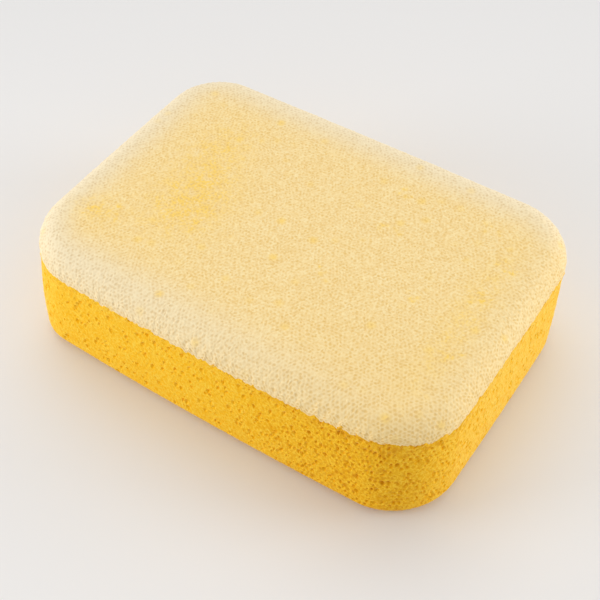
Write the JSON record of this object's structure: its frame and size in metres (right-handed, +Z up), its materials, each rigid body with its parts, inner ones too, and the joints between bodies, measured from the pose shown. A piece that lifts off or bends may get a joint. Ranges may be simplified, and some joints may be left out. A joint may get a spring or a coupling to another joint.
{
  "type": "cleaning sponge",
  "caption": "Rounded rectangular cleaning sponge: a thick fine-pored foam body with a thinner open-cell scrub layer bonded over its whole upper face.",
  "frame": {"origin": "centre of the sponge's underside, where it rests", "axes": "+X along the length, +Y across the width, +Z up from the foam body to the scrub layer"},
  "size_m": [0.184, 0.13, 0.054],
  "materials": {
    "yellow_foam": "dull fine-pored polyurethane foam, warm yellow",
    "scrub_foam": "dull open-cell foam, cream white with the yellow showing through"
  },
  "bodies": {
    "root": {"sponge_body": "yellow_foam", "scrub_layer": "scrub_foam"}
  },
  "joints": []
}
